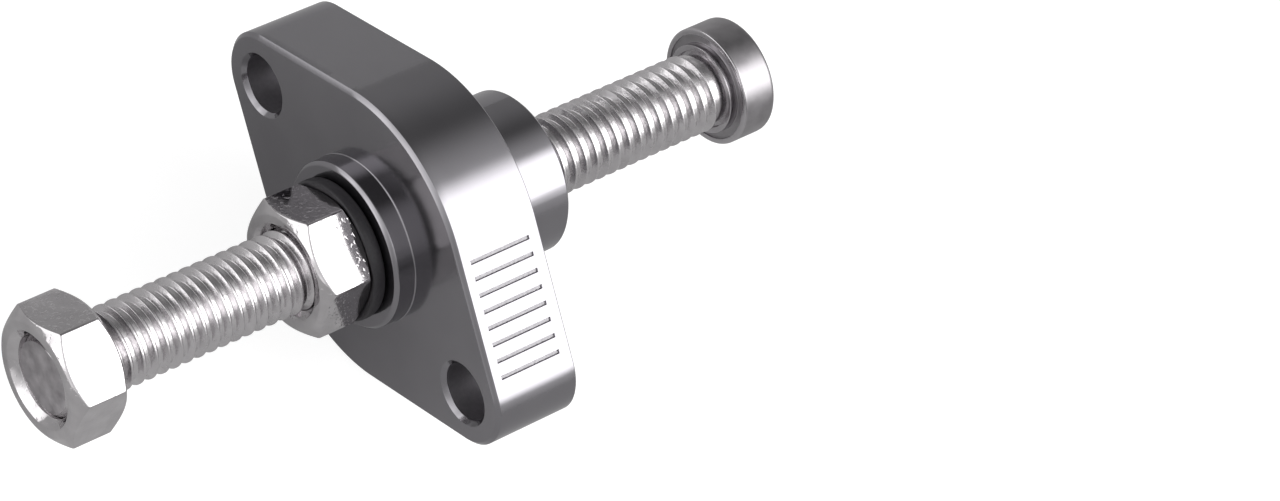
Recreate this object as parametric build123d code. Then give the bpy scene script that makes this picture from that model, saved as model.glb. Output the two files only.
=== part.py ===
from build123d import *
import os
from math import acos, cos, radians, sin, tan

# Manual cam chain tensioner, in millimetres.
# The origin is on the screw's axis, in the flange's rear face, which bolts to the engine.
# +Y runs along the screw into the engine, +X through the two bolt holes and +Z up.

# Screw thread, 3/8 in with 16 threads to the inch, and the bores that it runs in.
thread_d = 9.525
thread_clearance = 0.05
thread_end_chamfer = 0.6

# Flange: a round middle drawn out to a rounded lobe about each bolt hole.
flange_thickness = 11.0
flange_middle_d = 36.8
bolt_spacing = 42.0
bolt_hole_d = 6.8
bolt_hole_chamfer = 0.5
lobe_wall = 2.8
front_edge_chamfer = 0.45
rear_edge_chamfer = 0.15

# Front boss, which the seal and the lock nut bear on.
boss_d = 19.7
boss_height = 2.6
boss_chamfer = 0.4
boss_root_chamfer = 0.1

# Rear spigot, which locates the housing in the engine's bore.
spigot_d = 19.3
spigot_length = 10.8
spigot_chamfer = 0.3
bore_mouth_chamfer = 0.5

# Plain grooves milled across the straight side between the middle and the +X lobe.
groove_count = 8
groove_pitch = 1.9
groove_width = 0.5
groove_depth = 0.2
groove_margin = 1.5

# Rubber seal ring, squeezed between the boss and the lock nut.
seal_squeezed = 1.15
seal_past_corners = 0.05
seal_outer_chamfer = 0.5
seal_bore_clearance = 0.12
seal_nut_gap = 0.05

# Hexagon nuts, 9/16 in across flats: one locks the screw, one is its wrench end.
nut_across_flats = 14.2875
nut_height = 6.8
nut_face_d = 13.4
nut_chamfer_angle = 35.0
nut_countersink = 0.9
lock_nut_turn = 7.3
end_nut_turn = 5.3
end_nut_clearance = 0.02
screw_end_recess = 0.75

# Free length of screw on each side of the housing, as it stands.
screw_free_front = 25.1
screw_free_rear = 27.2

# Screw's inner end: plain neck, shoulder, and a journal that ends in an upset head.
neck_d = 8.4
neck_length = 3.0
journal_d = 6.4
journal_length = 1.45
journal_head_d = 7.5
journal_head_length = 1.35
journal_clearance = 0.06
journal_end_play = 0.1

# Foot: a turned pad that presses on the chain guide and turns on the screw's journal.
foot_d = 14.2
foot_end_wall = 1.2
foot_far_chamfer = 0.5
foot_near_chamfer = 0.3
collar_d = 10.8
collar_height = 0.8
collar_wall = 0.7
collar_recess_depth = 1.3
rim_groove_d = 12.8
rim_groove_depth = 0.35

# Places along Y that follow from the sizes above.
boss_face = -(flange_thickness + boss_height)
lock_nut_inner = boss_face - seal_squeezed
lock_nut_outer = lock_nut_inner - nut_height
end_nut_inner = lock_nut_outer - screw_free_front
end_nut_outer = end_nut_inner - nut_height
screw_outer_end = end_nut_outer + screw_end_recess
collar_front = spigot_length + screw_free_rear
foot_near_face = collar_front + collar_height
recess_floor = collar_front + collar_recess_depth
shoulder = recess_floor - journal_end_play
thread_inner_end = shoulder - neck_length
journal_head = shoulder + journal_end_play + journal_length
journal_end = journal_head + journal_head_length
head_pocket_end = journal_end + journal_end_play
foot_far_face = head_pocket_end + foot_end_wall


def turned(*corners):
    """Solid of revolution about the Y axis, from the (radius, y) corners of its section."""
    return revolve(make_face(Polyline(*corners, close=True)), Axis.Y)


def bore_cutter(diameter, start, end, chamfer_size):
    """What a drill and a 90 degree countersink at each mouth take out of a wall along Y."""
    r = diameter / 2
    wide = r + chamfer_size
    beyond = 1.0
    return turned(
        (0, start - beyond),
        (wide, start - beyond),
        (wide, start),
        (r, start + chamfer_size),
        (r, end - chamfer_size),
        (wide, end),
        (wide, end + beyond),
        (0, end + beyond),
    )


def flange_plate():
    """Two-lobed plate: the hull of the round middle and both lobes, with broken edges."""
    with BuildPart() as plate:
        with BuildSketch(Plane.XZ):
            Circle(flange_middle_d / 2)
            with Locations((-bolt_spacing / 2, 0), (bolt_spacing / 2, 0)):
                Circle(bolt_hole_d / 2 + lobe_wall)
            make_hull()
        extrude(amount=flange_thickness)
        front_face = plate.faces().sort_by(Axis.Y)[0]
        chamfer(front_face.edges(), front_edge_chamfer)
        rear_face = plate.faces().sort_by(Axis.Y)[-1]
        chamfer(rear_face.edges(), rear_edge_chamfer)
    return plate.part


def side_grooves():
    """Closed grooves along Y, cut square into the straight side next to the +X lobe."""
    lobe_r = bolt_hole_d / 2 + lobe_wall
    middle_r = flange_middle_d / 2
    lean = acos((middle_r - lobe_r) / (bolt_spacing / 2))
    mean_r = (middle_r + lobe_r) / 2
    centre = (
        bolt_spacing / 4 + mean_r * cos(lean),
        -flange_thickness / 2,
        mean_r * sin(lean),
    )
    side = Plane(origin=centre, x_dir=(sin(lean), 0, -cos(lean)), z_dir=(cos(lean), 0, sin(lean)))
    with BuildPart() as grooves:
        with BuildSketch(side):
            with GridLocations(groove_pitch, 0, groove_count, 1):
                Rectangle(groove_width, flange_thickness - 2 * groove_margin)
        extrude(amount=-groove_depth)
    return grooves.part


def turned_core():
    """Boss and spigot turned as one: chamfered ends, and a small cone at the boss's root."""
    boss_r = boss_d / 2
    spigot_r = spigot_d / 2
    flange_middle = -flange_thickness / 2
    return turned(
        (0, boss_face),
        (boss_r - boss_chamfer, boss_face),
        (boss_r, boss_face + boss_chamfer),
        (boss_r, -flange_thickness - boss_root_chamfer),
        (boss_r + boss_root_chamfer, -flange_thickness),
        (boss_r + boss_root_chamfer, flange_middle),
        (spigot_r, flange_middle),
        (spigot_r, spigot_length - spigot_chamfer),
        (spigot_r - spigot_chamfer, spigot_length),
        (0, spigot_length),
    )


def make_housing():
    """One turned and milled billet: flange, front boss, rear spigot and their bores."""
    housing = flange_plate() + turned_core()
    housing -= bore_cutter(
        thread_d + 2 * thread_clearance, boss_face, spigot_length, bore_mouth_chamfer
    )
    bolt_hole = bore_cutter(bolt_hole_d, -flange_thickness, 0, bolt_hole_chamfer)
    for side in (-1, 1):
        housing -= Pos(side * bolt_spacing / 2, 0, 0) * bolt_hole
    return housing - side_grooves()


def make_seal_ring():
    """Rubber ring squeezed flat against the boss, bulging out along the nut's chamfer."""
    inner_r = thread_d / 2 + seal_bore_clearance
    outer_r = nut_across_flats / 2 / cos(radians(30)) + seal_past_corners
    front = lock_nut_inner + seal_nut_gap
    bulge_r = outer_r - seal_outer_chamfer
    bulge_front = front - (bulge_r - nut_face_d / 2) * tan(radians(nut_chamfer_angle))
    return turned(
        (inner_r, boss_face),
        (inner_r, front),
        (nut_face_d / 2, front),
        (bulge_r, bulge_front),
        (outer_r, bulge_front + seal_outer_chamfer),
        (outer_r, boss_face - seal_outer_chamfer),
        (bulge_r, boss_face),
    )


def make_nut(outer_face, turn, bore_d):
    """Hexagon nut with both faces chamfered to a circle and both mouths countersunk."""
    inner_face = outer_face + nut_height
    with BuildPart() as prism:
        with BuildSketch(Plane.XZ.offset(-outer_face)):
            RegularPolygon(nut_across_flats / 2, 6, major_radius=False, rotation=turn + 30)
        extrude(amount=-nut_height)
    face_r = nut_face_d / 2
    outside_r = nut_across_flats * 0.6
    drop = (outside_r - face_r) * tan(radians(nut_chamfer_angle))
    envelope = turned(
        (0, outer_face),
        (face_r, outer_face),
        (outside_r, outer_face + drop),
        (outside_r, inner_face - drop),
        (face_r, inner_face),
        (0, inner_face),
    )
    return (prism.part & envelope) - bore_cutter(bore_d, outer_face, inner_face, nut_countersink)


def make_screw():
    """Adjuster screw: threaded rod, plain neck, shoulder, and journal with its upset head."""
    thread_r = thread_d / 2
    neck_r = neck_d / 2
    journal_r = journal_d / 2
    head_r = journal_head_d / 2
    return turned(
        (0, screw_outer_end),
        (thread_r - thread_end_chamfer, screw_outer_end),
        (thread_r, screw_outer_end + thread_end_chamfer),
        (thread_r, thread_inner_end - (thread_r - neck_r)),
        (neck_r, thread_inner_end),
        (neck_r, shoulder),
        (journal_r, shoulder),
        (journal_r, journal_head),
        (head_r, journal_head),
        (head_r, journal_end),
        (0, journal_end),
    )


def make_foot():
    """Foot pad: rimmed near face with a raised collar, over a socket for the journal."""
    foot_r = foot_d / 2
    collar_r = collar_d / 2
    recess_r = collar_r - collar_wall
    groove_r = rim_groove_d / 2
    socket_r = journal_d / 2 + journal_clearance
    pocket_r = journal_head_d / 2 + journal_clearance
    pocket_start = journal_head - journal_end_play
    return turned(
        (recess_r, collar_front),
        (collar_r, collar_front),
        (collar_r, foot_near_face + rim_groove_depth),
        (groove_r, foot_near_face + rim_groove_depth),
        (groove_r, foot_near_face),
        (foot_r - foot_near_chamfer, foot_near_face),
        (foot_r, foot_near_face + foot_near_chamfer),
        (foot_r, foot_far_face - foot_far_chamfer),
        (foot_r - foot_far_chamfer, foot_far_face),
        (0, foot_far_face),
        (0, head_pocket_end),
        (pocket_r, head_pocket_end),
        (pocket_r, pocket_start),
        (socket_r, pocket_start),
        (socket_r, recess_floor),
        (recess_r, recess_floor),
    )


pieces = {
    "housing": make_housing(),
    "seal_ring": make_seal_ring(),
    "lock_nut": make_nut(lock_nut_outer, lock_nut_turn, thread_d + 2 * thread_clearance),
    "adjuster_screw": make_screw(),
    "end_nut": make_nut(end_nut_outer, end_nut_turn, thread_d + 2 * end_nut_clearance),
    "foot": make_foot(),
}

os.makedirs("parts", exist_ok=True)
for name, solid in pieces.items():
    export_step(solid, f"parts/{name}.step")
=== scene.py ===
import bmesh
import bpy
import numpy as np
from mathutils import Matrix, Vector


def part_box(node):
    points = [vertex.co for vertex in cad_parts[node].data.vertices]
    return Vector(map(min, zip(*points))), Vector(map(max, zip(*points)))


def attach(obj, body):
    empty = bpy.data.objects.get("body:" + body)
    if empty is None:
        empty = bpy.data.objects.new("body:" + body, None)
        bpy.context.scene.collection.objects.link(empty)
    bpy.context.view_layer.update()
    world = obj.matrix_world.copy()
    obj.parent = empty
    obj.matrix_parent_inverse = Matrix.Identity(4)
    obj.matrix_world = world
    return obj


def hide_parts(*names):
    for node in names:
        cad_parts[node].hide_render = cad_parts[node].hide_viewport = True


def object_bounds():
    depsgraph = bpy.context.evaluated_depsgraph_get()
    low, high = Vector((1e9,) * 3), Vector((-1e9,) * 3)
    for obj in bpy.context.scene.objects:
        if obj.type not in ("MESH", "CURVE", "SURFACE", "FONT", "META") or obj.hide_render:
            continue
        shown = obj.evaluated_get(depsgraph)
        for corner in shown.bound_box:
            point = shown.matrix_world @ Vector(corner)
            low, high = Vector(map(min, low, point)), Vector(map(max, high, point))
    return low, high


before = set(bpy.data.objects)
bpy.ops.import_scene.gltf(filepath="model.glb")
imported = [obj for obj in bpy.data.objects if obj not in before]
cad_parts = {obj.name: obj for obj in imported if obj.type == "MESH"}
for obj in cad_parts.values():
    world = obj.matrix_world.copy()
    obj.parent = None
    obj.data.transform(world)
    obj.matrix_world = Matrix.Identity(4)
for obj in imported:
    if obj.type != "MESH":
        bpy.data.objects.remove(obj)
cad_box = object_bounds()

# Manual cam chain tensioner. The screw's axis is the Y axis, the flange bolts to the engine
# in the plane y = 0, and the two bolt holes lie along X. Sizes are in millimetres until a
# mesh is made.
MM = 0.001


def cad_range(node, axis):
    """Lowest and highest place of a CAD node along one axis, in millimetres."""
    low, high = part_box(node)
    return low[axis] / MM, high[axis] / MM


boss_face, spigot_end = cad_range("housing", 1)
flange_middle_r = cad_range("housing", 2)[1]
flange_half_length = cad_range("housing", 0)[1]
lock_nut_outer, lock_nut_inner = cad_range("lock_nut", 1)
end_nut_outer, end_nut_inner = cad_range("end_nut", 1)
screw_outer_end, journal_end = cad_range("adjuster_screw", 1)
foot_front, foot_far_face = cad_range("foot", 1)
foot_r = cad_range("foot", 0)[1]
seal_front, seal_back = cad_range("seal_ring", 1)
seal_r = cad_range("seal_ring", 0)[1]
thread_r = cad_range("adjuster_screw", 0)[1]

# Housing.
flange_front = -11.0
bolt_x = 21.0
bolt_hole_r = 3.4
bolt_hole_chamfer = 0.5
front_edge_chamfer = 0.45
rear_edge_chamfer = 0.15
boss_r = 9.85
boss_chamfer = 0.4
boss_root = 0.1
spigot_r = 9.65
spigot_chamfer = 0.3
bore_r = 4.8125
bore_mouth_chamfer = 0.5
groove_count = 8
groove_pitch = 1.9
groove_half_width = 0.25
groove_depth = 0.2
groove_margin = 1.5

# How far a groove's wall leans over its depth, how much the flange's edges are eased, and how
# wide a strip of each flat face is made together with the flange's side.
groove_wall_run = 0.09
edge_ease = 0.02
face_strip = 0.3

# Nuts.
nut_half_flats = 7.14375
nut_face_r = 6.7
nut_chamfer_slope = np.tan(np.radians(35))
nut_corner_r = 0.35
nut_countersink = 0.9
lock_nut_turn = 7.3
end_nut_turn = 5.3
lock_nut_bore_r = 4.8125
end_nut_bore_r = 4.7825

# Screw: 16 threads to the inch, 60 degree form. The thread is shallower than the standard's
# 0.6 of a pitch, with broader crests, and it runs out on the neck.
pitch = 25.4 / 16
thread_depth = 0.43 * pitch
neck_r = 4.2
run_out_end = 37.5
shoulder = 39.2
journal_r = 3.2
journal_head_r = 3.75
journal_head_start = 40.75
thread_end_chamfer = 0.6

# Foot. The recess in its collar is shallow, so that its floor catches the light.
collar_r = 5.4
collar_height = 0.8
collar_recess_r = 4.7
collar_recess_depth = 0.5
foot_near_face = foot_front + collar_height
recess_floor = foot_front + collar_recess_depth
rim_groove_r = 6.4
rim_groove_depth = 0.35
socket_r = 3.26
pocket_r = 3.81
pocket_start = 40.65
pocket_end = 42.2

# Seal ring.
seal_bore_r = 4.8825
seal_nut_gap = 0.05
seal_bulge = 0.9

# Edges that turn by more degrees than this stay sharp in the shading.
sharp_angle = 40

# Fineness of the meshes: steps round the turned pieces, the thread and a nut's flats and
# corners, and stations round the flange and along its parting lines.
foot_steps = 144
seal_steps = 120
thread_steps = 72
nut_flat_steps = 19
nut_corner_steps = 8
lobe_steps = 49
middle_steps = 57
inner_straight_steps = 25
outer_straight_steps = 10
split_steps = 25
wall_rows = 9


def rounded(corners, sizes, steps=3):
    """Profile whose corners are eased: each corner P between A and B becomes the curve
    (1-t)^2 S + 2t(1-t) P + t^2 E, where S and E lie `size` from P towards A and B.
    The corners are on the second last axis, so one call eases every section of a piece."""
    corners = np.asarray(corners, float)
    count = corners.shape[-2]
    t = np.linspace(0, 1, steps + 1)[:, None]
    pieces = []
    for k in range(count):
        here = corners[..., k, :]
        before = corners[..., k - 1, :] - here
        after = corners[..., (k + 1) % count, :] - here
        if sizes[k] == 0:
            pieces.append(here[..., None, :])
            continue
        before_length = np.linalg.norm(before, axis=-1, keepdims=True)
        after_length = np.linalg.norm(after, axis=-1, keepdims=True)
        start = here + before / before_length * np.minimum(sizes[k], 0.45 * before_length)
        end = here + after / after_length * np.minimum(sizes[k], 0.45 * after_length)
        pieces.append(
            (1 - t) ** 2 * start[..., None, :]
            + 2 * t * (1 - t) * here[..., None, :]
            + t**2 * end[..., None, :]
        )
    return np.concatenate(pieces, axis=-2)


def turned(profile, angles, centre_x=0.0):
    """Points centre + r (cos a, sin a) in X and Z at height y, for each angle a and each
    (r, y) of the profile, which is one for all angles or one for each."""
    profile = np.broadcast_to(profile, (len(angles), *np.shape(profile)[-2:]))
    r = profile[..., 0]
    a = angles[:, None]
    return np.stack([centre_x + r * np.cos(a), profile[..., 1], r * np.sin(a)], -1)


def quads(rows, columns, close_rows=False, close_columns=False):
    """Corner numbers of the quads of a grid of points, optionally joined end to end."""
    i = np.arange(rows if close_rows else rows - 1)[:, None]
    j = np.arange(columns if close_columns else columns - 1)[None, :]
    next_i = (i + 1) % rows
    next_j = (j + 1) % columns
    corners = [i * columns + j, next_i * columns + j, next_i * columns + next_j, i * columns + next_j]
    return np.stack([np.broadcast_to(c, (len(i), j.shape[1])) for c in corners], -1).reshape(-1, 4)


def make_piece(name, patches, materials, patch_materials=None):
    """One closed mesh of grid patches, each (points, quads) in millimetres: their shared
    borders are welded, needle faces dropped and all faces turned outwards. A patch's
    material is one number, or one for each of its quads."""
    points, faces, slots, start = [], [], [], 0
    for number, (grid, corner_numbers) in enumerate(patches):
        flat = grid.reshape(-1, 3)
        points.append(flat)
        faces.append(corner_numbers + start)
        slot = patch_materials[number] if patch_materials else 0
        slots.append(np.broadcast_to(slot, len(corner_numbers)))
        start += len(flat)
    points = np.concatenate(points) * MM
    faces = np.concatenate(faces)
    mesh = bpy.data.meshes.new(name)
    mesh.vertices.add(len(points))
    mesh.vertices.foreach_set("co", points.ravel())
    mesh.loops.add(faces.size)
    mesh.loops.foreach_set("vertex_index", faces.ravel())
    mesh.polygons.add(len(faces))
    mesh.polygons.foreach_set("loop_start", np.arange(0, faces.size, 4))
    mesh.polygons.foreach_set("material_index", np.concatenate(slots))
    mesh.update(calc_edges=True)
    weld = bmesh.new()
    weld.from_mesh(mesh)
    bmesh.ops.remove_doubles(weld, verts=weld.verts, dist=0.0005 * MM)
    bmesh.ops.dissolve_degenerate(weld, edges=weld.edges, dist=0.0002 * MM)
    bmesh.ops.recalc_face_normals(weld, faces=weld.faces)
    weld.to_mesh(mesh)
    weld.free()
    mesh.polygons.foreach_set("use_smooth", np.ones(len(mesh.polygons), bool))
    mesh.set_sharp_from_angle(angle=np.radians(sharp_angle))
    piece = bpy.data.objects.new(name, mesh)
    bpy.context.scene.collection.objects.link(piece)
    for material in materials:
        mesh.materials.append(material)
    even = piece.modifiers.new("even_normals", "WEIGHTED_NORMAL")
    even.keep_sharp = True
    return piece


def linear(code):
    """Linear red, green, blue and alpha of an sRGB hex colour."""
    s = np.array([int(code[i:i + 2], 16) for i in (1, 3, 5)]) / 255
    rgb = np.where(s <= 0.04045, s / 12.92, ((s + 0.055) / 1.055) ** 2.4)
    return (*rgb.tolist(), 1.0)


def add_node(tree, kind, inputs=None, **settings):
    """Adds a node, sets its properties, and gives each input a value or a link. Inputs go by
    name or number: a Mix node has its factor at 0, numbers at 2 and 3, colours at 6 and 7."""
    node = tree.nodes.new(kind)
    for key, value in settings.items():
        setattr(node, key, value)
    for key, value in (inputs or {}).items():
        if isinstance(value, bpy.types.NodeSocket):
            tree.links.new(value, node.inputs[key])
        else:
            node.inputs[key].default_value = value
    return node


def new_material(name):
    """Empty material with a Principled shader, its node tree and object coordinates."""
    material = bpy.data.materials.new(name)
    material.use_nodes = True
    tree = material.node_tree
    shader = tree.nodes["Principled BSDF"]
    place = add_node(tree, "ShaderNodeTexCoord").outputs["Object"]
    return material, tree, shader, place


def per_mm(spacing):
    """Noise scale whose features lie `spacing` millimetres apart."""
    return 1 / (spacing * MM)


def tool_marks(tree, place, spacing, depth):
    """Bump of the fine rings that a turning or milling cut leaves: noise of the distance
    from the Y axis and of the height along it, so that lines run round every surface. Real
    ones lie closer than would show, so they are drawn coarser."""
    across = add_node(
        tree, "ShaderNodeVectorMath", {0: place, 1: (1, 0, 1)}, operation="MULTIPLY"
    ).outputs[0]
    radius = add_node(
        tree, "ShaderNodeVectorMath", {0: across}, operation="LENGTH"
    ).outputs["Value"]
    height = add_node(tree, "ShaderNodeSeparateXYZ", {0: place}).outputs["Y"]
    section = add_node(tree, "ShaderNodeCombineXYZ", {"X": radius, "Y": height}).outputs[0]
    rings = add_node(
        tree, "ShaderNodeTexNoise", {"Vector": section, "Scale": per_mm(spacing), "Detail": 3.0}
    ).outputs[0]
    return bump(tree, rings, depth)


def blotches(tree, place, spacing, detail=2.0):
    """Soft noise with features about `spacing` millimetres apart."""
    return add_node(
        tree, "ShaderNodeTexNoise", {"Vector": place, "Scale": per_mm(spacing), "Detail": detail}
    ).outputs[0]


def bump(tree, height, depth, normal=None):
    """Bump of a height pattern that is `depth` millimetres deep."""
    inputs = {"Height": height, "Strength": 1.0, "Distance": depth * MM}
    if normal is not None:
        inputs["Normal"] = normal
    return add_node(tree, "ShaderNodeBump", inputs).outputs["Normal"]


def between(tree, factor, low, high, from_low=0.3, from_high=0.7):
    """Value or colour that runs from low to high as the factor runs over its range."""
    spread = add_node(
        tree, "ShaderNodeMapRange", {"Value": factor, "From Min": from_low, "From Max": from_high}
    ).outputs[0]
    if isinstance(low, str):
        return add_node(
            tree, "ShaderNodeMix", {0: spread, 6: linear(low), 7: linear(high)}, data_type="RGBA"
        ).outputs[2]
    return add_node(
        tree, "ShaderNodeMapRange", {"Value": spread, "To Min": low, "To Max": high}
    ).outputs[0]


def anodised_aluminium():
    """Machined billet, dyed dark grey by anodising: a smooth semi-gloss metal whose colour
    is even, with faint cutter lines round its walls and an etched grain. The real grain is
    too fine to show, so it is drawn coarser."""
    material, tree, shader, place = new_material("anodised_aluminium")
    patches = blotches(tree, place, 9.0)
    grain = blotches(tree, place, 0.22, 3.0)
    shader.inputs["Metallic"].default_value = 1.0
    tree.links.new(between(tree, patches, "#8e8c90", "#949296"), shader.inputs["Base Color"])
    tree.links.new(between(tree, patches, 0.13, 0.17), shader.inputs["Roughness"])
    lines = tool_marks(tree, place, 0.3, 0.0016)
    tree.links.new(bump(tree, grain, 0.0012, lines), shader.inputs["Normal"])
    return material


def bare_groove():
    """Floor of the milled grooves: the cut went through the anodising, so the aluminium is
    bare, matt and pale grey from the marks of the small cutter."""
    material, tree, shader, place = new_material("bare_groove")
    grain = blotches(tree, place, 0.3, 3.0)
    shader.inputs["Metallic"].default_value = 1.0
    tree.links.new(between(tree, grain, "#a3a1a4", "#b9b7ba"), shader.inputs["Base Color"])
    shader.inputs["Roughness"].default_value = 0.6
    tree.links.new(bump(tree, grain, 0.004), shader.inputs["Normal"])
    return material


def drilled_bore():
    """Wall of a bolt hole: the same dyed aluminium, dull and even as the drill left it."""
    material, tree, shader, place = new_material("drilled_bore")
    grain = blotches(tree, place, 0.4, 3.0)
    shader.inputs["Metallic"].default_value = 1.0
    tree.links.new(between(tree, grain, "#8b888d", "#949196"), shader.inputs["Base Color"])
    shader.inputs["Roughness"].default_value = 0.55
    tree.links.new(tool_marks(tree, place, 0.3, 0.004), shader.inputs["Normal"])
    return material


def black_rubber():
    """Moulded nitrile rubber: near black, with a soft broad sheen where it bulges."""
    material, tree, shader, place = new_material("black_rubber")
    grain = blotches(tree, place, 0.3, 3.0)
    tree.links.new(between(tree, grain, "#232125", "#2c2a2e"), shader.inputs["Base Color"])
    shader.inputs["Roughness"].default_value = 0.55
    tree.links.new(bump(tree, grain, 0.004), shader.inputs["Normal"])
    return material


def zinc_plate():
    """Cold-forged steel under bright zinc: pale and glossy, with slightly wavy flats, dull
    cloudy patches in the plate and a scatter of small dents between smooth stretches."""
    material, tree, shader, place = new_material("zinc_plate")
    clouds = blotches(tree, place, 2.6, 4.0)
    waves = blotches(tree, place, 3.2, 1.0)
    dents = between(tree, blotches(tree, place, 0.45, 3.0), 0.0, 1.0, 0.57, 0.72)
    shader.inputs["Metallic"].default_value = 1.0
    tree.links.new(between(tree, clouds, "#c0bdbf", "#d2cfd1"), shader.inputs["Base Color"])
    tree.links.new(between(tree, clouds, 0.1, 0.05), shader.inputs["Roughness"])
    wavy = bump(tree, waves, 0.01)
    tree.links.new(bump(tree, dents, 0.012, wavy), shader.inputs["Normal"])
    return material


def rolled_thread():
    """Steel rod with a rolled thread: bright satin metal, duller and paler in soft clouds,
    whose small pits break up the light."""
    material, tree, shader, place = new_material("rolled_thread")
    clouds = blotches(tree, place, 1.8, 4.0)
    pits = blotches(tree, place, 0.5, 4.0)
    shader.inputs["Metallic"].default_value = 1.0
    tree.links.new(between(tree, clouds, "#cbc8ca", "#d8d5d7"), shader.inputs["Base Color"])
    tree.links.new(between(tree, clouds, 0.3, 0.2), shader.inputs["Roughness"])
    tree.links.new(bump(tree, pits, 0.025), shader.inputs["Normal"])
    return material


def sheared_end():
    """Cut end of the rod: left as it was sheared, so dull, grey and uneven."""
    material, tree, shader, place = new_material("sheared_end")
    lumps = blotches(tree, place, 2.4, 4.0)
    shader.inputs["Metallic"].default_value = 1.0
    tree.links.new(between(tree, lumps, "#8f8b8e", "#c8c4c7"), shader.inputs["Base Color"])
    tree.links.new(between(tree, lumps, 0.55, 0.38), shader.inputs["Roughness"])
    tree.links.new(bump(tree, lumps, 0.25), shader.inputs["Normal"])
    return material


def turned_steel():
    """Plain steel turned in a lathe: a satin mid grey side with fine rings from the tool.
    The near face, which the tool left smoother, is glossier. Its colour is a painted highlight,
    paler than the side's, standing in for the brighter reflection that face shows."""
    material, tree, shader, place = new_material("turned_steel")
    patches = blotches(tree, place, 2.0, 4.0)
    height = add_node(tree, "ShaderNodeSeparateXYZ", {0: place}).outputs["Y"]
    face_end, side_start = foot_near_face + 0.1, foot_near_face + 0.4
    side = add_node(
        tree,
        "ShaderNodeMapRange",
        {"Value": height, "From Min": face_end * MM, "From Max": side_start * MM},
    ).outputs[0]
    side_colour = between(tree, patches, "#969396", "#a8a5a8")
    # Painted highlight: the near face's colour is set paler than the side's so that it looks as bright
    # as a face mirroring a well lit floor; the steel itself is the same.
    painted_pale_face_colour = between(tree, patches, "#bab7ba", "#c6c3c6")
    colour = add_node(
        tree, "ShaderNodeMix", {0: side, 6: painted_pale_face_colour, 7: side_colour}, data_type="RGBA"
    ).outputs[2]
    side_roughness = between(tree, patches, 0.3, 0.4)
    roughness = add_node(
        tree, "ShaderNodeMix", {0: side, 2: 0.16, 3: side_roughness}, data_type="FLOAT"
    ).outputs[0]
    shader.inputs["Metallic"].default_value = 1.0
    tree.links.new(colour, shader.inputs["Base Color"])
    tree.links.new(roughness, shader.inputs["Roughness"])
    tree.links.new(tool_marks(tree, place, 0.3, 0.006), shader.inputs["Normal"])
    return material


# Outline of the flange: the straights lean by one angle from the X axis. Each is divided
# `split` short of the middle's end, on the lines |x| = split_x where the flat faces part
# between the bolt holes and the boss.
lobe_r = flange_half_length - bolt_x
lean = np.arccos((flange_middle_r - lobe_r) / bolt_x)
straight_length = bolt_x * np.sin(lean)
split = straight_length / 2 - 2 * groove_pitch
lobe_end_x = bolt_x + lobe_r * np.cos(lean)
middle_end_x = flange_middle_r * np.cos(lean)
split_x = middle_end_x + split / straight_length * (lobe_end_x - middle_end_x)


def straight_stations():
    """Places along a straight side, from the lobe's end, without its two ends."""
    part = straight_length - split
    to_split = np.linspace(0, part, inner_straight_steps)[1:]
    past_split = np.linspace(part, straight_length, outer_straight_steps)[1:-1]
    return np.concatenate([to_split, past_split]).round(6)


def groove_stations():
    """Places along the grooved side: a cluster across each groove and one at the split."""
    numbers = np.arange(groove_count) - (groove_count - 1) / 2
    centres = straight_length / 2 + numbers * groove_pitch
    floor_half = groove_half_width - groove_wall_run
    across = np.array([-1.0, -1.0, -1.0, -0.5, 0.0, 0.5, 1.0, 1.0, 1.0]) * floor_half
    across += np.array([-2.0, -1.0, 0.0, 0.0, 0.0, 0.0, 0.0, 1.0, 2.0]) * groove_wall_run
    lands = np.append(centres + groove_pitch / 2, centres[0] - groove_pitch / 2)
    ends = [0.5, 1.0, straight_length - 1.0, straight_length - 0.5]
    stations = np.concatenate([(centres[:, None] + across).ravel(), lands, ends])
    return np.unique(np.append(stations, straight_length - split).round(6))


def flange_outline():
    """Outline points and outward normals of the hull of three circles, in (X, Z), and where
    along the grooved straight each lies, which is -1 elsewhere. A point is its circle's
    centre plus the radius times the normal; on a straight the two circles' ends are mixed."""
    def arc(centre, radius, start, end, steps):
        a = np.linspace(start, end, steps)
        normal = np.stack([np.cos(a), np.sin(a)], 1)
        return centre + radius * normal, normal, np.full(steps, -1.0)

    def straight(side, top, stations, grooved=False, reverse=False):
        normal = np.array([side * np.cos(lean), top * np.sin(lean)])
        start = np.array([side * bolt_x, 0.0]) + lobe_r * normal
        end = flange_middle_r * normal
        where = stations[::-1] if reverse else stations
        t = (where / straight_length)[:, None]
        along = where if grooved else np.full(len(where), -1.0)
        return start + t * (end - start), np.tile(normal, (len(where), 1)), along

    right, left, middle = np.array([bolt_x, 0.0]), np.array([-bolt_x, 0.0]), np.zeros(2)
    plain = straight_stations()
    parts = [
        arc(right, lobe_r, -lean, lean, lobe_steps),
        straight(1, 1, groove_stations(), grooved=True),
        arc(middle, flange_middle_r, lean, np.pi - lean, middle_steps),
        straight(-1, 1, plain, reverse=True),
        arc(left, lobe_r, np.pi - lean, np.pi + lean, lobe_steps),
        straight(-1, -1, plain),
        arc(middle, flange_middle_r, np.pi + lean, 2 * np.pi - lean, middle_steps),
        straight(1, -1, plain, reverse=True),
    ]
    return [np.concatenate(columns) for columns in zip(*parts)]


def groove_fall(along, height):
    """Depth of the grooves at a place along the grooved side and a height: nothing at the
    edge of the nearest groove, and full depth from one wall run inside its edge."""
    first = straight_length / 2 - (groove_count - 1) / 2 * groove_pitch
    number = np.clip(np.round((along - first) / groove_pitch), 0, groove_count - 1)
    aside = along - (first + number * groove_pitch)
    inside_sides = groove_half_width - np.abs(aside)
    inside_ends = np.minimum(height - flange_front, -height) - groove_margin
    inside = np.minimum(inside_sides, inside_ends)
    fall = groove_depth * np.clip(inside / groove_wall_run, 0, 1)
    return np.where(along < 0, 0.0, fall)


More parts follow.
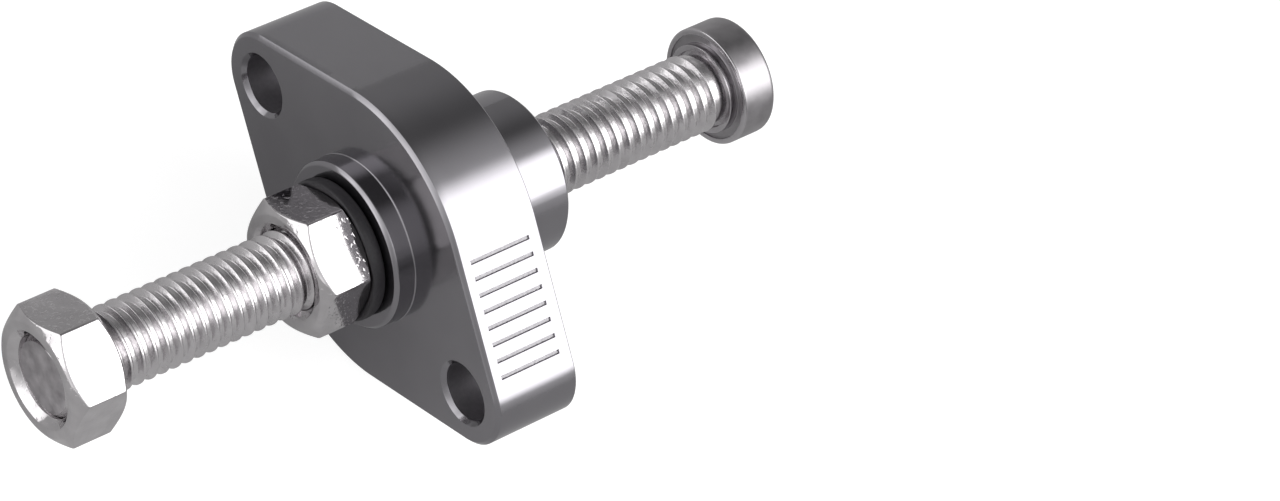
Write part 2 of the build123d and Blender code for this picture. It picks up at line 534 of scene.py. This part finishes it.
def flange_wall(points, normals, along):
    """Side of the flange: the edge profile (inset from the outline, height) carried round
    the outline along its normals, with the grooves sunk into one straight. Returned with its
    quads and, for each quad, 1 where it is the floor of a groove."""
    low = flange_front + groove_margin
    high = -groove_margin
    ends = np.array([-groove_wall_run, 0.0, groove_wall_run, groove_half_width])
    middle = np.linspace(low + 2 * groove_half_width, high - 2 * groove_half_width, wall_rows)
    heights = np.concatenate([low + ends, middle, high - ends[::-1]])
    corners = np.array(
        [
            [front_edge_chamfer + face_strip, flange_front],
            [front_edge_chamfer, flange_front],
            [0.0, flange_front + front_edge_chamfer],
            *[[0.0, height] for height in heights],
            [0.0, -rear_edge_chamfer],
            [rear_edge_chamfer, 0.0],
            [rear_edge_chamfer + face_strip, 0.0],
        ]
    )
    sizes = [0, edge_ease, edge_ease, *[0] * len(heights), edge_ease, edge_ease, 0]
    profile = rounded(corners, sizes)
    height = profile[:, 1]
    fall = groove_fall(along[:, None], height[None, :])
    inset = profile[:, 0] + fall
    x = points[:, None, 0] - normals[:, None, 0] * inset
    z = points[:, None, 1] - normals[:, None, 1] * inset
    grid = np.stack([x, np.broadcast_to(height, x.shape), z], -1)
    corner_numbers = quads(*x.shape, close_rows=True)
    at_floor = np.isclose(fall, groove_depth, rtol=0.01).ravel()
    return grid, corner_numbers, at_floor[corner_numbers].all(axis=1).astype(int)


def flange_face(height, inset, core_r, points, normals, split_numbers):
    """Flat face with its three holes, as three rings of spokes: from the outline, or the
    line that parts the rings, straight in to the circle round each hole."""
    edge = points - inset * normals
    a, b, c, d = split_numbers
    count = len(points)

    def part_line(start, end):
        t = np.linspace(0, 1, split_steps)[1:-1, None]
        return edge[start] + t * (edge[end] - edge[start])

    def run(start, end):
        return edge[np.arange(start, end + 1 if end >= start else end + 1 + count) % count]

    right_line, left_line = part_line(d, a), part_line(b, c)
    hole_r = bolt_hole_r + bolt_hole_chamfer
    rings = [
        (np.concatenate([run(d, a), right_line[::-1]]), bolt_x, hole_r),
        (np.concatenate([run(b, c), left_line[::-1]]), -bolt_x, hole_r),
        (np.concatenate([run(a, b), left_line, run(c, d), right_line]), 0.0, core_r),
    ]
    patches = []
    for border, centre_x, radius in rings:
        a_in = np.arctan2(border[:, 1], border[:, 0] - centre_x)
        circle = np.stack([centre_x + radius * np.cos(a_in), radius * np.sin(a_in)], 1)
        t = np.array([0.0, 0.06, 0.5, 0.94, 1.0])[None, :, None]
        flat = border[:, None] + t * (circle - border)[:, None]
        grid = np.stack([flat[..., 0], np.full(flat.shape[:2], height), flat[..., 1]], -1)
        patches.append((grid, quads(*grid.shape[:2], close_rows=True)))
    return patches


def make_housing(materials):
    """Flange, boss and spigot in one closed surface of ten patches: the wall, three rings of
    each flat face, the two bolt holes and the turned core with its bore. The materials are
    the billet's own, the groove floors' and the bolt holes'."""
    points, normals, along = flange_outline()
    from_split = np.abs(np.abs(points[:, 0]) - split_x)
    split_numbers = []
    for side, top in ((1, 1), (-1, 1), (-1, -1), (1, -1)):
        in_quarter = (side * points[:, 0] > 0) & (top * points[:, 1] > 0)
        split_numbers.append(int(np.argmin(np.where(in_quarter, from_split, np.inf))))
    wall, wall_quads, groove_floor = flange_wall(points, normals, along)
    front_inset = front_edge_chamfer + face_strip
    rear_inset = rear_edge_chamfer + face_strip
    core_r = boss_r + boss_root
    front = flange_face(flange_front, front_inset, core_r, points, normals, split_numbers)
    rear = flange_face(0.0, rear_inset, spigot_r, points, normals, split_numbers)
    patches = [(wall, wall_quads), *front, *rear]
    hole = rounded(
        [
            [bolt_hole_r + bolt_hole_chamfer, flange_front],
            [bolt_hole_r, flange_front + bolt_hole_chamfer],
            [bolt_hole_r, -bolt_hole_chamfer],
            [bolt_hole_r + bolt_hole_chamfer, 0.0],
        ],
        [0, 0.05, 0.05, 0],
    )
    core = rounded(
        [
            [core_r, flange_front],
            [boss_r, flange_front - boss_root],
            [boss_r, boss_face + boss_chamfer],
            [boss_r - boss_chamfer, boss_face],
            [bore_r + bore_mouth_chamfer, boss_face],
            [bore_r, boss_face + bore_mouth_chamfer],
            [bore_r, spigot_end - bore_mouth_chamfer],
            [bore_r + bore_mouth_chamfer, spigot_end],
            [spigot_r - spigot_chamfer, spigot_end],
            [spigot_r, spigot_end - spigot_chamfer],
            [spigot_r, 0.0],
        ],
        [0, 0.08, 0.08, 0.08, 0.05, 0.05, 0.05, 0.05, 0.06, 0.06, 0],
    )
    bores = []
    for number, centre_x, profile in ((0, bolt_x, hole), (1, -bolt_x, hole), (2, 0.0, core)):
        ends = []
        for face in (front, rear):
            rim = face[number][0][:, -1]
            ends.append(np.arctan2(rim[:, 2], rim[:, 0] - centre_x))
        start, end = ends
        turn = (end - start + np.pi) % (2 * np.pi) - np.pi
        share = np.linspace(0, 1, len(profile))
        share = share * share * (3 - 2 * share)
        angles = start[:, None] + turn[:, None] * share
        x = centre_x + profile[:, 0] * np.cos(angles)
        z = profile[:, 0] * np.sin(angles)
        grid = np.stack([x, np.broadcast_to(profile[:, 1], x.shape), z], -1)
        corner_numbers = quads(*grid.shape[:2], close_rows=True)
        patches.append((grid, corner_numbers))
        in_bore = np.broadcast_to(np.isclose(profile[:, 0], bolt_hole_r), x.shape).ravel()
        bores.append(2 * in_bore[corner_numbers].all(axis=1))
    slots = [groove_floor] + [0] * len(front + rear) + bores
    return make_piece("housing_billet", patches, materials, slots)


def hexagon(half_flats, corner_r, turn):
    """Directions and distances of a rounded hexagon's side: half_flats / cos(a) at an angle
    a from a flat's normal, and near a corner the far crossing of the ray with the circle
    of radius corner_r that touches both flats."""
    centre = (half_flats - corner_r) / np.cos(np.pi / 6)
    touch = np.arctan2(centre * np.sin(np.pi / 6), half_flats)
    flat = np.linspace(-touch, touch, nut_flat_steps)
    corner = np.linspace(touch, np.pi / 3 - touch, nut_corner_steps)[1:-1]
    from_flat = np.concatenate([flat, corner])
    from_corner = np.pi / 6 - from_flat
    arc = centre * np.cos(from_corner) + np.sqrt(
        np.maximum(corner_r**2 - (centre * np.sin(from_corner)) ** 2, 0)
    )
    reach = np.where(from_flat > touch, arc, half_flats / np.cos(from_flat))
    sides = np.arange(6)[:, None] * np.pi / 3
    angles = (np.radians(turn) + sides + from_flat).ravel()
    return angles, np.tile(reach, 6)


def make_nut(name, outer, inner, turn, nut_bore_r, material):
    """Hexagon nut: for each direction a section from the bore over both faces, where the
    35 degree cone y = slope (r - face radius) cuts the side at that direction's reach."""
    angles, reach = hexagon(nut_half_flats, nut_corner_r, turn)
    fall = (reach - nut_face_r) * nut_chamfer_slope
    mouth_r = nut_bore_r + nut_countersink
    section = [
        (nut_bore_r, outer + nut_countersink),
        (mouth_r, outer),
        (nut_face_r, outer),
        (reach, outer + fall),
        (reach, inner - fall),
        (nut_face_r, inner),
        (mouth_r, inner),
        (nut_bore_r, inner - nut_countersink),
    ]
    corners = [np.stack(np.broadcast_arrays(r, y, reach)[:2], -1) for r, y in section]
    profile = rounded(np.stack(corners, -2), [0.06, 0.06, 0.12, 0.16, 0.16, 0.12, 0.06, 0.06])
    grid = turned(profile, angles)
    return make_piece(name, [(grid, quads(*grid.shape[:2], True, True))], [material])


def thread_form():
    """One pitch of the thread as places along the axis and radii: a 60 degree V cut off at a
    crest a sixth of the pitch wide and a root about a third of it wide, with eased corners."""
    half_crest = pitch / 12
    flank = thread_depth * np.tan(np.radians(30))
    root_r = thread_r - thread_depth
    corners = [
        [-half_crest, thread_r],
        [half_crest, thread_r],
        [half_crest + flank, root_r],
        [pitch - half_crest - flank, root_r],
        [pitch - half_crest, thread_r],
        [pitch + half_crest, thread_r],
    ]
    profile = rounded(corners, [0, 0.06, 0.09, 0.09, 0.06, 0])
    return profile[1:-1, 0], profile[1:-1, 1]


def make_screw(materials):
    """Threaded rod. Row j of the grid runs along a helix: its height is the row's own place
    less the pitch times the turn, held between the rod's ends, and its radius is the thread
    form at that height, cut by a 45 degree cone at each end. One turn on, a row is the next
    turn's row, so the seam joins rows that are one pitch apart."""
    places, radii = thread_form()
    columns = thread_steps
    rows_per_turn = len(places)
    low, high = screw_outer_end, run_out_end
    first_turn = int(np.floor(low / pitch)) - 1
    last_turn = int(np.ceil(high / pitch)) + 2
    rows = (places[None, :] + pitch * np.arange(first_turn, last_turn)[:, None]).ravel()
    angles = np.arange(columns) * 2 * np.pi / columns
    lag = pitch * np.arange(columns) / columns
    height = np.clip(rows[None, :] - lag[:, None], low, high)
    phase = (height + lag[:, None] - places[0]) % pitch + places[0]
    radius = np.interp(phase, np.append(places, places[0] + pitch), np.append(radii, radii[0]))
    root_r = thread_r - thread_depth
    fade = root_r + (neck_r - root_r) * np.clip((height - (high - pitch)) / pitch, 0, 1)
    radius = np.maximum(radius, fade)
    radius = np.minimum(radius, thread_r - thread_end_chamfer + (height - low))
    radius = np.minimum(radius, neck_r + (high - height))
    a = angles[:, None]
    grid = np.stack([radius * np.cos(a), height, radius * np.sin(a)], -1)
    row_count = len(rows)
    i = np.arange(columns)[:, None]
    j = np.arange(row_count - 1)[None, :]
    here = i * row_count + j
    wrap = i == columns - 1
    there = np.where(wrap, j - rows_per_turn, (i + 1) * row_count + j)
    keep = np.broadcast_to(~wrap | (j >= rows_per_turn), here.shape)
    thread_quads = np.stack([here, there, there + 1, here + 1], -1)[keep]
    patches = [(grid, thread_quads)]

    shrink = np.array([1.0, 0.9, 0.6, 0.3, 0.0])
    cap = grid[:, :1] * np.stack([shrink, np.ones_like(shrink), shrink], -1)
    patches.append((cap, quads(*cap.shape[:2], close_rows=True)))

    journal = rounded(
        [
            [neck_r, high],
            [neck_r, shoulder],
            [journal_r, shoulder],
            [journal_r, journal_head_start],
            [journal_head_r, journal_head_start],
            [journal_head_r, journal_end],
            [0.0, journal_end],
        ],
        [0, 0.1, 0, 0, 0.1, 0.1, 0],
    )
    tail = turned(journal, angles)
    patches.append((tail, quads(*tail.shape[:2], close_rows=True)))
    return make_piece("threaded_screw", patches, materials, [0, 1, 0])


def make_foot(material):
    """Foot pad, turned: a rimmed near face with a raised collar, a round far edge and the
    socket that holds the journal."""
    profile = rounded(
        [
            [collar_recess_r, foot_front],
            [collar_r, foot_front],
            [collar_r, foot_near_face + rim_groove_depth],
            [rim_groove_r, foot_near_face + rim_groove_depth],
            [rim_groove_r, foot_near_face],
            [foot_r, foot_near_face],
            [foot_r, foot_far_face],
            [0.0, foot_far_face],
            [0.0, pocket_end],
            [pocket_r, pocket_end],
            [pocket_r, pocket_start],
            [socket_r, pocket_start],
            [socket_r, recess_floor],
            [collar_recess_r, recess_floor],
        ],
        [0.08, 0.08, 0.12, 0.1, 0.08, 0.3, 0.6, 0, 0, 0, 0, 0, 0.05, 0.1],
        steps=5,
    )
    angles = np.arange(foot_steps) * 2 * np.pi / foot_steps
    grid = turned(profile, angles)
    return make_piece("turned_foot", [(grid, quads(*grid.shape[:2], True, True))], [material])


def make_seal(material):
    """Rubber ring, turned: flat where it is squeezed, bulging out round between the boss
    and the nut's cone."""
    bulge_r = seal_r - seal_bulge
    cone_fall = (bulge_r - nut_face_r) * nut_chamfer_slope
    front = lock_nut_inner + seal_nut_gap
    profile = rounded(
        [
            [seal_bore_r, front],
            [nut_face_r, front],
            [bulge_r, front - cone_fall],
            [seal_r, seal_front],
            [seal_r, seal_back],
            [seal_bore_r, seal_back],
        ],
        [0.35, 0.1, 0.4, 0.85, 0.85, 0.35],
        steps=6,
    )
    angles = np.arange(seal_steps) * 2 * np.pi / seal_steps
    grid = turned(profile, angles)
    return make_piece("rubber_seal", [(grid, quads(*grid.shape[:2], True, True))], [material])


anodised = anodised_aluminium()
zinc = zinc_plate()
pieces = [
    (
        make_housing([anodised, bare_groove(), drilled_bore()]),
        "housing",
        "housing",
        "anodised_aluminium",
    ),
    (make_seal(black_rubber()), "seal_ring", "housing", "black_rubber"),
    (
        make_nut("hex_lock_nut", lock_nut_outer, lock_nut_inner, lock_nut_turn, lock_nut_bore_r, zinc),
        "lock_nut",
        "lock_nut",
        "zinc_plated_steel",
    ),
    (make_screw([rolled_thread(), sheared_end()]), "adjuster_screw", "screw", "threaded_steel"),
    (
        make_nut("hex_end_nut", end_nut_outer, end_nut_inner, end_nut_turn, end_nut_bore_r, zinc),
        "end_nut",
        "screw",
        "zinc_plated_steel",
    ),
    (make_foot(turned_steel()), "foot", "foot", "turned_steel"),
]
for piece, node, body, slot in pieces:
    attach(piece, body)
    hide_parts(node)


# Camera, fitted to the photograph's outlines at the part's real size.
camera_azimuth = 28.556
camera_elevation = 54.884
camera_distance = 500.59
camera_aim = (16.226, 15.182, 5.195)
camera_roll = -36.045
focal_length = 126.547


def make_camera():
    """Camera on a sphere round the origin, turned to its aim and rolled about its view."""
    azimuth, elevation, roll = np.radians([camera_azimuth, camera_elevation, camera_roll])
    place = camera_distance * np.array(
        [
            np.cos(elevation) * np.sin(azimuth),
            -np.cos(elevation) * np.cos(azimuth),
            np.sin(elevation),
        ]
    )
    view = np.array(camera_aim) - place
    view /= np.linalg.norm(view)
    side = np.cross(view, [0, 0, 1])
    side /= np.linalg.norm(side)
    level_up = np.cross(side, view)
    up = np.cos(roll) * level_up + np.sin(roll) * side
    right = np.cross(view, up)
    data = bpy.data.cameras.new("camera")
    data.sensor_width = 36
    data.sensor_fit = "HORIZONTAL"
    data.lens = focal_length
    data.clip_end = 20
    camera = bpy.data.objects.new("camera", data)
    bpy.context.scene.collection.objects.link(camera)
    turn = Matrix((right, up, -view)).transposed().to_4x4()
    camera.matrix_world = Matrix.Translation(Vector(place * MM)) @ turn
    bpy.context.scene.camera = camera


def plainly_seen(tree, path):
    """1 for the rays that show the background as it is: from the camera and through glass."""
    return add_node(
        tree,
        "ShaderNodeMath",
        {0: path.outputs["Is Camera Ray"], 1: path.outputs["Is Transmission Ray"]},
        operation="MAXIMUM",
    ).outputs[0]


def make_floor():
    """Pale floor just under the part. Rays from the camera get enough light added to turn
    the lit floor white, and its shadows stay. Metal sees a little of that light too."""
    reach = 3.0
    mesh = bpy.data.meshes.new("floor")
    z = cad_box[0][2]
    corners = [(-reach, -reach, z), (reach, -reach, z), (reach, reach, z), (-reach, reach, z)]
    mesh.from_pydata(corners, [], [(0, 1, 2, 3)])
    floor = bpy.data.objects.new("floor", mesh)
    bpy.context.scene.collection.objects.link(floor)
    material = bpy.data.materials.new("floor")
    material.use_nodes = True
    tree = material.node_tree
    tree.nodes.clear()
    path = add_node(tree, "ShaderNodeLightPath")
    diffuse = add_node(tree, "ShaderNodeBsdfDiffuse", {"Color": linear("#a8a8a8")})
    in_metal = add_node(
        tree,
        "ShaderNodeMath",
        {0: path.outputs["Is Glossy Ray"], 1: floor_in_metal},
        operation="MULTIPLY",
    )
    added = add_node(
        tree,
        "ShaderNodeMath",
        {0: plainly_seen(tree, path), 1: floor_glow, 2: in_metal.outputs[0]},
        operation="MULTIPLY_ADD",
    )
    glow = add_node(
        tree,
        "ShaderNodeEmission",
        {"Color": linear("#ffffff"), "Strength": added.outputs[0]},
    )
    both = add_node(tree, "ShaderNodeAddShader", {0: diffuse.outputs[0], 1: glow.outputs[0]})
    add_node(tree, "ShaderNodeOutputMaterial", {"Surface": both.outputs[0]})
    mesh.materials.append(material)


# Light of the studio: how bright the room is as the part sees it, the share of the white
# background and of the white floor that metal shows, and soft lamps given by direction, the
# angles where each is full and where it ends, and its strength. The shares are small because
# the photographed metal mirrors a dim room.
room_level = 0.12
background_in_metal = 0.05
floor_in_metal = 0.13
floor_glow = 0.83
soft_lamps = [
    # Key light with its halo, mirrored by the grooved side and the right flats of the nuts.
    ((0.543, 0.536, 0.647), 12, 30, 3.4),
    ((0.543, 0.536, 0.647), 15, 60, 0.7),
    # Dim light on the upper left sides of the flange and the nuts.
    ((-0.84, 0.50, -0.10), 10, 55, 0.18),
    # Lights on the nuts' cones.
    ((-0.33, -0.88, 0.33), 12, 32, 1.0),
    ((0.10, -0.99, 0.05), 12, 30, 0.9),
    ((-0.45, -0.88, 0.05), 15, 35, 0.6),
    # Lights on the chamfer of the flange's front edge: its top, upper left and right.
    ((-0.08, -0.87, 0.48), 8, 24, 0.5),
    ((-0.85, -0.50, 0.12), 8, 28, 1.2),
    ((0.72, -0.69, -0.05), 10, 30, 0.35),
    # Light on the thread's front flanks.
    ((0.45, -0.50, 0.74), 12, 40, 0.8),
]


def make_world():
    """White to the camera and through glass. To the part, a grey room with soft round lamps,
    each a smooth step in the angle between the ray and the lamp's direction, to which metal
    adds its share of the white."""
    world = bpy.data.worlds.new("studio")
    bpy.context.scene.world = world
    world.use_nodes = True
    tree = world.node_tree
    tree.nodes.clear()
    path = add_node(tree, "ShaderNodeLightPath")
    ray = add_node(tree, "ShaderNodeTexCoord").outputs["Generated"]
    level = add_node(
        tree,
        "ShaderNodeMath",
        {0: path.outputs["Is Glossy Ray"], 1: background_in_metal, 2: room_level},
        operation="MULTIPLY_ADD",
    ).outputs[0]
    for direction, full, end, strength in soft_lamps:
        unit = Vector(direction).normalized()
        along = add_node(
            tree, "ShaderNodeVectorMath", {0: ray, 1: unit}, operation="DOT_PRODUCT"
        ).outputs["Value"]
        step = add_node(
            tree,
            "ShaderNodeMapRange",
            {
                "Value": along,
                "From Min": float(np.cos(np.radians(end))),
                "From Max": float(np.cos(np.radians(full))),
                "To Min": 0.0,
                "To Max": strength,
            },
            interpolation_type="SMOOTHSTEP",
        ).outputs[0]
        level = add_node(tree, "ShaderNodeMath", {0: level, 1: step}, operation="ADD").outputs[0]
    strength = add_node(
        tree,
        "ShaderNodeMix",
        {0: plainly_seen(tree, path), 2: level, 3: 1.0},
        data_type="FLOAT",
    ).outputs[0]
    background = add_node(
        tree, "ShaderNodeBackground", {"Color": linear("#ffffff"), "Strength": strength}
    )
    add_node(tree, "ShaderNodeOutputWorld", {"Surface": background.outputs[0]})


make_camera()
make_floor()
make_world()
bpy.context.scene.view_settings.view_transform = "Standard"
